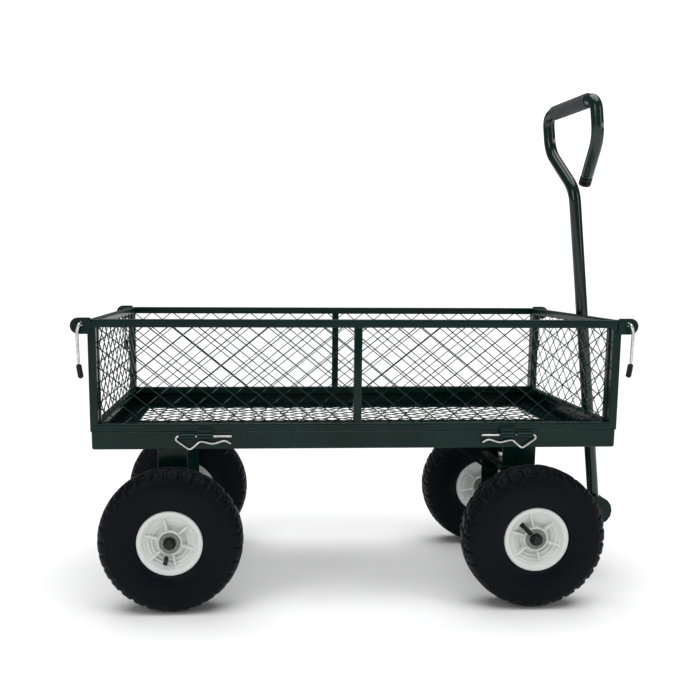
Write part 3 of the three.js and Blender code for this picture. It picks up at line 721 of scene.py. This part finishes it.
def strap(edge, hand):
    """A strap across the end of the top rail, rounded at its free end, with a hole. Each
    outline point is where a ray from the hole meets the strap's edge."""
    turn = np.linspace(0, 2 * np.pi, 60, endpoint=False)
    reach, round_end = STRAP_OVERHANG / 2, STRAP_HEIGHT / 2
    middle = np.array([reach - LATCH_REACH, PANEL_HEIGHT - STRAP_MIDDLE - LATCH_HEIGHT])
    ray = np.stack([np.cos(turn), np.sin(turn)], -1)
    with np.errstate(divide="ignore", invalid="ignore"):
        sides = (middle[1] + np.sign(ray[:, 1]) * round_end) / ray[:, 1]
        back = np.where(ray[:, 0] < 0, -(LATCH_REACH + TUBE / 2) / ray[:, 0], 1.0)
    to_middle = ray @ middle
    round_hit = to_middle + np.sqrt(to_middle**2 - middle @ middle + round_end**2)
    flat_hit = np.minimum(np.where(np.isfinite(sides), sides, 1.0), back)
    far = np.where(flat_hit * ray[:, 0] > middle[0], round_hit, flat_hit)
    outline = ray * far[:, None]

    def place(points):
        """Plate points, moved to where the strap stands on the edge."""
        u = hand * (edge.half + LATCH_REACH + points[..., 0])
        v = points[..., 1]
        w = LATCH_HEIGHT + points[..., 2]
        return edge.place(np.stack([u, v, w], -1))

    return holed_plate(outline, LATCH_HOLE, -STRAP, 0.0003, place)


def lug(edge, hand):
    """A lug on the end of an end panel, standing out past the post, with a square hole. Both
    outlines are where rays from the hole's middle meet a rectangle's nearest side."""
    middle = -LATCH_REACH - 0.0015
    low = np.array([-LUG_REACH - middle, LUG_FOOT - LATCH_HEIGHT])
    high = np.array([0.001 - middle, PANEL_HEIGHT - LATCH_HEIGHT])
    corners = [math.atan2(y, x) for x in (low[0], high[0]) for y in (low[1], high[1])]
    turn = np.unique(np.concatenate([np.arange(-31, 33) * np.pi / 32, corners]).round(6))
    ray = np.stack([np.cos(turn), np.sin(turn)], -1)
    safe = np.where(np.abs(ray) < 1e-6, 1e-6, ray)
    outline = ray * np.where(safe > 0, high / safe, low / safe).min(1)[:, None]
    square = (LUG_HOLE / np.abs(ray).max(1))[:, None]

    def place(points):
        """Plate points, moved to where the lug stands on the edge."""
        v = middle + points[..., 0]
        u = hand * (edge.half + points[..., 1])
        return edge.place(np.stack([u, v, LATCH_HEIGHT + points[..., 2]], -1))

    return holed_plate(outline, square, -0.0031, -0.0003, place)


for edge in edges:
    tube = rounded_rectangle((0, 0), (TUBE, TUBE), TUBE_ROUND, 3)
    height = PANEL_HEIGHT - PANEL_GAP
    rings = mitred(tube[:, 0], tube[:, 0], tube[:, 1], edge.half, height / 2)
    rings = rings[..., [0, 2, 1]] + np.array([0, 0, PANEL_GAP + height / 2])
    parts = [edge.put(shell(rings, loop=True))]
    for hand in (-1, 1):
        near, far = edge.seam - SEAM_GAP - KNUCKLE_LENGTH, edge.seam - SEAM_GAP
        parts.append(knuckle(edge, near, far, hand))
        low, high = sorted((hand * (near + 0.001), hand * (far - 0.001)))
        parts.append(edge.put(block((low, -0.0034, -0.004), (high, -0.0006, 0.008))))
        bead = np.array([(low, -0.0009, 0.008), (high, -0.0009, 0.008)])
        parts.append(edge.put(weld_bead(bead, HINGE_BEAD, (0, 0, 1))))
        parts.append(strap(edge, hand) if edge.side else lug(edge, hand))
    if edge.side:
        foot = (-TUBE / 2, 0.0002, TUBE - 0.001)
        head = (TUBE / 2, TUBE - 0.0002, height - TUBE + 0.001)
        parts.append(edge.put(block(foot, head, TUBE_ROUND)))
        for v in (0.0004, TUBE - 0.0004):
            for w in (TUBE, height - TUBE):
                bead = np.array([(-TUBE / 2, v, w), (TUBE / 2, v, w)])
                parts.append(edge.put(weld_bead(bead, POST_BEAD, (0, 0, 1))))
    frame_node = f"{edge.name}_panel_frame"
    piece(f"{edge.name}_tube_frame", parts, f"{edge.name}_panel", green,
          [frame_node])
    middle = np.array([0, TUBE + 0.0008, PANEL_HEIGHT / 2])
    inset = 2 * (TUBE - MESH_LAP)
    sheet = expanded_metal(
        2 * edge.half - inset, PANEL_HEIGHT - inset,
        lambda p, edge=edge, middle=middle: edge.place(p[..., [0, 2, 1]] + middle),
        wave=0.0003 if edge.side else 0.0007,
    )
    piece(f"{edge.name}_diamonds", [sheet], f"{edge.name}_panel", green,
          [f"{edge.name}_panel_mesh"])

# a clip's route from its straight leg, in mm from the hinge's middle and from the deck's top
clip_route = [(-62, -7), (34, -7), (35.5, -13), (11, -31), (-7, -15), (-29, -20.5),
              (-49, -14), (-60, -20)]
for edge in edges:
    for hand, letter in ((-1, "a"), (1, "b")):
        corners = [(hand * (edge.seam + u * MM), -HINGE_OUT, w * MM) for u, w in clip_route]
        loop = edge.place(bent(corners, CLIP_BEND))
        name = f"{edge.name}_{letter}_hinge_clip"
        piece(f"{name}_wire", [wire(loop, CLIP_WIRE, edge.inward)], "chassis", zinc,
              [name])
        if not edge.side:
            continue
        u = hand * (edge.half + LATCH_REACH)
        out = -STRAP - LATCH_BEND - LATCH_OUT
        corners = [
            (u, LATCH_IN, LATCH_HEIGHT), (u, out, LATCH_HEIGHT),
            (u + hand * 0.004, out, LATCH_HEIGHT - 0.012), (u + hand * 0.003, out, LATCH_FOOT),
        ]
        name = f"{edge.name}_{letter}_latch"
        bar = edge.place(bent(corners, LATCH_BEND))
        piece(f"{name}_wire", [wire(bar, LATCH_WIRE, edge.along)], name, zinc,
              [f"{name}_pin"])
        top = edge.place(np.array([u + hand * 0.0028, out, VINYL_TOP]))
        foot = edge.place(np.array([u - hand * 0.0008, out, VINYL_FOOT]))
        run = np.linspace(0, 1, 12)[:, None]
        sleeve = wire(top * (1 - run) + foot * run, VINYL, edge.along, 20)
        piece(f"{name}_sleeve", [sleeve], name, vinyl, [f"{name}_grip"])

# ------------------------------------------------------------------ wheels
TREAD_LUGS = 30
RIM_RIBS = 6
RIB_TURN = math.radians(17)
FRONT_VALVE_NEARER = 0.0080  # the front wheels' valves are this much nearer the axle


def tyre_outline():
    """Radius and distance from the middle plane of the tyre's outside, from one bead over the
    crown to the other, through support points spaced evenly over the tread."""
    points = np.array([
        (60.1, 30.5), (62, 33.2), (68, 36.2), (78, 39.4), (90, 40.8), (99, 40.9), (106, 40.4),
        (111.5, 39.3), (116, 37.8), (120.5, 35.8), (124, 32.6), (127.2, 28), (129, 23.5),
        (130.3, 17.5), (131, 10), (131.4, 0),
    ]) * MM
    points = np.vstack([points, points[-2::-1] * [1, -1]])
    length = np.append(0, np.cumsum(np.linalg.norm(np.diff(points, axis=0), axis=1)))
    even = np.linspace(0, length[-1], 108)
    return np.stack([np.interp(even, length, points[:, k]) for k in range(2)], -1)


def band(value, low, high, soft):
    """One between low and high, and zero outside, with a smooth step of the given width."""
    up = np.clip((value - low) / soft + 0.5, 0, 1)
    down = np.clip((high - value) / soft + 0.5, 0, 1)
    return up * up * (3 - 2 * up) * down * down * (3 - 2 * down)


def tyre(place):
    """The tyre's outside with its tread. Where a groove runs, the radius is less by the
    groove's depth: shoulder grooves across, two zigzag grooves round, and thin sipes."""
    outline = tyre_outline()
    turn = np.arange(480) * 2 * np.pi / 480
    across = np.broadcast_to(outline[None, :, 1], (480, len(outline))) / MM
    radius = np.broadcast_to(outline[None, :, 0], (480, len(outline))) / MM
    lug = turn[:, None] * TREAD_LUGS / (2 * np.pi)
    side = np.sign(across) * 0.25
    phase = (lug + side) % 1.0
    shoulder = band(phase, 0.39, 0.61, 0.10) * band(np.abs(across), 15.0, 60, 2.5)
    shoulder = shoulder * band(radius, 115.5, 200, 4.0)
    zigzag = 12.5 + 2.4 * np.cos(2 * np.pi * (lug + side))
    round_groove = band(np.abs(np.abs(across) - zigzag), -5, 1.9, 1.2)
    middle = band((lug + across * 0.012) % 1.0, 0.40, 0.60, 0.10) * band(across, -10.5, 10.5, 2)
    sipe = band((phase + 0.5) % 1.0, 0.455, 0.545, 0.06) * band(np.abs(across), 20, 31, 2)
    groove = np.maximum(np.maximum(shoulder, round_groove), middle) * 2.6
    groove = np.maximum(groove, sipe * 1.1) * band(radius, 116, 200, 3)
    step = band(radius, 112.6, 114.6, 1.4) * 0.8 + band(radius, 70.5, 72.5, 1.4) * 0.7
    slope = np.gradient(outline, axis=0)
    slope /= np.linalg.norm(slope, axis=1)[:, None]
    normal = np.stack([-slope[:, 1], slope[:, 0]], -1)
    normal *= np.sign(normal[len(normal) // 2, 0])
    sunk = (step - groove) * MM
    reach = outline[None, :, 0] + normal[None, :, 0] * sunk
    along = outline[None, :, 1] + normal[None, :, 1] * sunk
    reach = np.minimum(reach, WHEEL - 0.0001)
    along = np.clip(along, -0.041, 0.041)
    rows = np.stack([
        reach * np.cos(turn)[:, None], along, reach * np.sin(turn)[:, None],
    ], -1).transpose(1, 0, 2)
    inner = np.stack([
        0.0598 * np.cos(turn), np.zeros(480), 0.0598 * np.sin(turn),
    ], -1)
    foot = [inner + [0, w, 0] for w in (-0.0297, -0.015, 0.0, 0.015, 0.0297)]
    return shell(place(np.concatenate([rows, np.array(foot)])), loop=True)


def rim(place):
    """The rim, turned from a profile whose two faces step down in terraces from the flange to
    the hub. Ribs stand in the recess: there the face is the higher of the terraces and a
    rib, which slopes from the hub to the flange."""
    face = np.array([
        (17.6, 25.4), (19.5, 25.4), (19.5, 27.6), (19.9, 28), (21.2, 28), (21.7, 27.6),
        (22.1, 14.5), (23, 13.6), (29, 13.4), (30.4, 13.8), (31, 16.4), (36.6, 16.8),
        (37.6, 17.4), (38.2, 20), (42.8, 20.4), (43.8, 21), (44.4, 23.6), (46.6, 24.2),
        (48.6, 27.6), (50.2, 30.2), (52.0, 31.6), (54.2, 31.9), (57.4, 32), (58.8, 31.5),
        (59.5, 30.2),
    ])
    drum = np.array([(59.5, 28.5), (58.2, 27), (55.2, 25.6), (54.5, 22), (54.5, 8)])
    fine = []
    for first, last in zip(face[:-1], face[1:]):
        steps = max(1, int(np.linalg.norm(last - first) / 1.6))
        fine += [first + (last - first) * k / steps for k in range(steps)]
    half = np.vstack([fine, face[-1:], drum])
    profile = np.vstack([half, half[::-1] * [1, -1]])
    turn = np.arange(288) * 2 * np.pi / 288
    reach = np.broadcast_to(profile[:, :1], (len(profile), 288))
    along = np.broadcast_to(profile[:, 1:], (len(profile), 288))
    sector = ((turn - RIB_TURN) * RIM_RIBS / (2 * np.pi) + 0.5) % 1.0 - 0.5
    off = np.abs(sector)[None, :] * 2 * np.pi / RIM_RIBS * reach
    stands = band(off, -9, 1.9, 1.3) * band(reach, 21.9, 47.5, 0.8)
    top = 26.6 - 1.2 * np.sin(np.pi * np.clip((reach - 22) / 26, 0, 1))
    on_face = np.abs(along) > 12
    raised = along + np.sign(along) * np.maximum(top - np.abs(along), 0) * stands * on_face
    rows = np.stack([reach * np.cos(turn), raised, reach * np.sin(turn)], -1) * MM
    return shell(place(rows), loop=True)


def ball_bearing(place):
    """A bearing: outer ring, sunk shield with a rib round it, and inner ring, the same on both
    faces."""
    face = np.array([
        (8.2, 28.9), (8.5, 29.2), (11.2, 29.2), (11.6, 28.6), (12.0, 27.8), (14.4, 27.8),
        (14.7, 28.2), (15.3, 28.2), (15.6, 27.6), (16.4, 27.6), (16.7, 27.9), (17.3, 27.9),
        (17.6, 27.2), (19.3, 27.2), (19.3, 25.7), (17.5, 25.7), (17.5, 20),
    ]) * MM
    profile = np.vstack([face, face[::-1] * [1, -1]])
    return turned(profile, 64, place, loop=True)


def chamfered_bar(radius, low, high, place, cut=0.0012):
    """A round bar along the turning axis, with chamfered ends that stay closed."""
    profile = [
        (0.0008, low), (radius - cut, low), (radius - cut * 0.8, low + cut * 0.05),
        (radius, low + cut), (radius, low + cut * 2), (radius, high - cut * 2),
        (radius, high - cut), (radius - cut * 0.8, high - cut * 0.05), (radius - cut, high),
        (0.0008, high),
    ]
    return turned(profile, 32, place)


for end in ("rear", "front"):
    axle_body = "chassis" if end == "rear" else "front_axle_assembly"
    hub = pivot[f"{end}_left_wheel_spin"] * [1, 0, 1]
    low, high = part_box(f"{end}_axle")
    bar = chamfered_bar(AXLE, low[1], high[1], lambda p, hub=hub: p + hub)
    pin = []
    for name, sign in (("left", 1), ("right", -1)):
        wheel = f"{end}_{name}_wheel"
        centre = pivot[f"{wheel}_spin"]

        def outer(points, centre=centre, sign=sign):
            """Wheel points, turned half round for the right-hand wheels."""
            return points * [sign, sign, 1] + centre

        piece(f"{wheel}_treaded_tyre", [tyre(outer)], wheel, tread,
              [f"{end}_{name}_tyre"], 40)
        piece(f"{wheel}_ribbed_rim", [rim(outer)], wheel, white,
              [f"{end}_{name}_rim"], 50)
        piece(f"{wheel}_ball_bearing", [ball_bearing(outer)], wheel, bearing,
              [f"{end}_{name}_bearing"])
        low, high = (np.array(corner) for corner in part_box(f"{end}_{name}_valve_stem"))
        offset = (low + high) / 2 - centre
        way = np.array([offset[0], 0, offset[2]]) / np.hypot(offset[0], offset[2])
        nearer = FRONT_VALVE_NEARER if end == "front" else 0.0
        foot, tip = (
            centre + way * (out - nearer) + [0, sign * up, 0]
            for out, up in (VALVE_FOOT, VALVE_TIP)
        )
        share = np.linspace(0, 1, 24)[:, None]
        path = foot * (1 - share) + tip * share
        girth = np.interp(share[:, 0], [0, 0.12, 0.2, 0.55, 0.6, 0.95, 1],
                          [1.0, 1.0, 0.8, 0.8, 0.9, 0.9, 0.65])
        rubber_stem = shell(swept(path, ring(VALVE, 16), np.array([0.0, 1.0, 0.0]), girth))
        piece(f"{wheel}_valve", [rubber_stem], wheel, stem,
              [f"{end}_{name}_valve_stem"])
        nut_low, nut_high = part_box(f"{end}_{name}_axle_nut")
        near, far = sorted(abs(corner[1]) for corner in (nut_low, nut_high))

        def nut_at(points, hub=hub, sign=sign):
            """Nut points, whose axis runs out from the cart's middle."""
            return points * [sign, sign, 1] + hub

        nut = hexagon_nut(NUT, near + 0.0012, far, AXLE + 0.0001, nut_at)
        wide, thick = WASHER
        washer = turned([(AXLE + 0.0002, near), (wide, near), (wide, near + thick),
                         (AXLE + 0.0002, near + thick)], 40, nut_at, loop=True)
        piece(f"{end}_{name}_hexagon_nut", [nut, washer], axle_body, black,
              [f"{end}_{name}_axle_nut"])
        split = np.array([(-0.0075, 0, 0.0), (0.0, 0, 0.0), (0.0075, 0, 0.0)])
        split = split + hub + np.array([0, sign * (far + 0.0022 - 0.0005), 0])
        pin.append(wire(bent(split, 0.002), SPLIT_PIN, (0, 0, 1), 8))
    piece(f"{end}_axle_bar", [bar, *pin], axle_body, steel, [f"{end}_axle"])

# ------------------------------------------------------------------ tow handle
loop_corners = [(0, 0.008), (0, 0.655), (LOOP_FAR, 0.740), (LOOP_FAR, HANDLE_LENGTH),
                (-LOOP_NEAR, HANDLE_LENGTH), (-LOOP_NEAR, 0.741), (-0.0446, 0.669)]
loop = bent([loop_point(*corner) for corner in loop_corners], LOOP_BEND, 14)
tube = lean(loop)
tube_hint = lean(np.array([loop_point(0, 0), (1, 0, 0)]))
bush = turned([(0.0063, -0.016), (0.0122, -0.016), (0.013, -0.0152), (0.013, 0.0152),
               (0.0122, 0.016), (0.0063, 0.016)], 40, lean, loop=True)
piece("tow_loop", [wire(tube, HANDLE_TUBE, tube_hint[1] - tube_hint[0], 28), bush],
      "tow_handle", handle_green, ["handle_tube"])

grip_run = np.linspace(GRIP_START, GRIP_END, 60)
grip_path = lean(np.array([loop_point(across, HANDLE_LENGTH) for across in grip_run]))
rise = np.clip(np.minimum(grip_run - GRIP_START, GRIP_END - grip_run) / GRIP_EDGE, 0, 1)
swell = 0.91 + 0.09 * np.sin(rise * np.pi / 2)
swell *= 1 - 0.006 * (1 + np.sin(grip_run * 260))
sleeve = shell(swept(grip_path, ring(GRIP, 40), np.array([1.0, 0.0, 0.0]), swell))
grip = piece("foam_sleeve", [sleeve], "tow_handle", foamed, ["handle_grip"])

cap_way = tube[-1] - tube[-2]
cap_way /= np.linalg.norm(cap_way)
cap_run = np.linspace(-0.002, 0.0055, 9)[:, None]
cap = wire(tube[-1] + cap_way * cap_run, END_CAP, (1, 0, 0), 28)
piece("rounded_cap", [cap], "tow_handle", vinyl, ["handle_end_plug"])

# ------------------------------------------------------------------ running gear
for node, finish_of in (
    ("center_beam", green), ("rear_axle_bracket", green), ("front_bolster", green),
    ("front_brace", green), ("axle_yoke", green), ("kingpin", zinc), ("kingpin_nut", zinc),
    ("tow_bolt", black), ("tow_nut", black),
):
    part = bpy.data.objects[node]
    part.data.materials.clear()
    part.data.materials.append(finish_of)
    weld = part.modifiers.new("weld", "WELD")
    weld.merge_threshold = 0.00001
    flat = part.modifiers.new("flat", "DECIMATE")
    flat.decimate_type = "DISSOLVE"
    flat.angle_limit = math.radians(2)
    bevel = part.modifiers.new("bevel", "BEVEL")
    bevel.width = 0.0007
    bevel.segments = 2
    bevel.limit_method = "ANGLE"
    bevel.angle_limit = math.radians(35)
    bevel.harden_normals = True

# ------------------------------------------------------------------ floor, lights and camera
WHITE = (1, 1, 1, 1)
FILL = 0.16  # the world as the cart sees it
BACKDROP = 1.2  # the world as the camera sees it
SKY = 3.3
SKY_WIDTH = math.radians(70)
AIM = (0, 0, 0.35)  # where the lamps point
CAMERA_PLACE = (-0.20055, -1.7716, 0.6178)
YAW, PITCH, ROLL = -0.0541, 0.1449, 0.0052
LENS = 45.62
SHIFT = (0.0587, 0.0694)

white_floor = finish("Studio floor", (0.92, 0.92, 0.92), 0.9)
bpy.ops.mesh.primitive_plane_add(size=40, location=(0, 0, -0.001))
ground = bpy.context.object
ground.name = "studio_floor"
ground.data.materials.append(white_floor)

world = bpy.data.worlds.new("Studio")
world.use_nodes = True
dim_node = world.node_tree.nodes["Background"]
dim_node.inputs["Color"].default_value = WHITE
dim_node.inputs["Strength"].default_value = FILL
dim = Wire(world.node_tree, dim_node.outputs[0])
bright = dim.add("ShaderNodeBackground", Color=WHITE, Strength=BACKDROP)
seen = dim.add("ShaderNodeLightPath").out("Is Camera Ray")
choice = dim.add("ShaderNodeMixShader", i0=seen, i1=dim, i2=bright)
world_out = next(n for n in world.node_tree.nodes if n.type == "OUTPUT_WORLD")
world.node_tree.links.new(choice.socket, world_out.inputs["Surface"])
bpy.context.scene.world = world


def lamp(name, place, size, power):
    """A soft rectangular light that faces the cart."""
    data = bpy.data.lights.new(name, "AREA")
    data.shape = "RECTANGLE"
    data.size, data.size_y = size
    data.energy = power
    lit = bpy.data.objects.new(name, data)
    lit.location = place
    aim = Vector(AIM) - Vector(place)
    lit.rotation_euler = aim.to_track_quat("-Z", "Y").to_euler()
    bpy.context.scene.collection.objects.link(lit)


lamp("front_left", (-2.4, -2.6, 1.9), (1.2, 1.8), 26)
lamp("front_right", (2.6, -2.2, 1.6), (0.8, 1.8), 16)
sky = bpy.data.lights.new("overhead", "SUN")
sky.energy = SKY
sky.angle = SKY_WIDTH
overhead = bpy.data.objects.new("overhead", sky)
bpy.context.scene.collection.objects.link(overhead)

ahead = Vector((
    -math.sin(YAW) * math.cos(PITCH), math.cos(YAW) * math.cos(PITCH), -math.sin(PITCH),
))
level = Vector((math.cos(YAW), math.sin(YAW), 0))
above = level.cross(ahead)
right = level * math.cos(ROLL) + above * math.sin(ROLL)
top = above * math.cos(ROLL) - level * math.sin(ROLL)
stand = Matrix((right, top, -ahead)).transposed().to_4x4()
stand.translation = Vector(CAMERA_PLACE)
lens = bpy.data.cameras.new("camera")
lens.lens = LENS
lens.shift_x, lens.shift_y = SHIFT
camera = bpy.data.objects.new("camera", lens)
camera.matrix_world = stand
bpy.context.scene.collection.objects.link(camera)
bpy.context.scene.camera = camera
bpy.context.scene.view_settings.view_transform = "Standard"
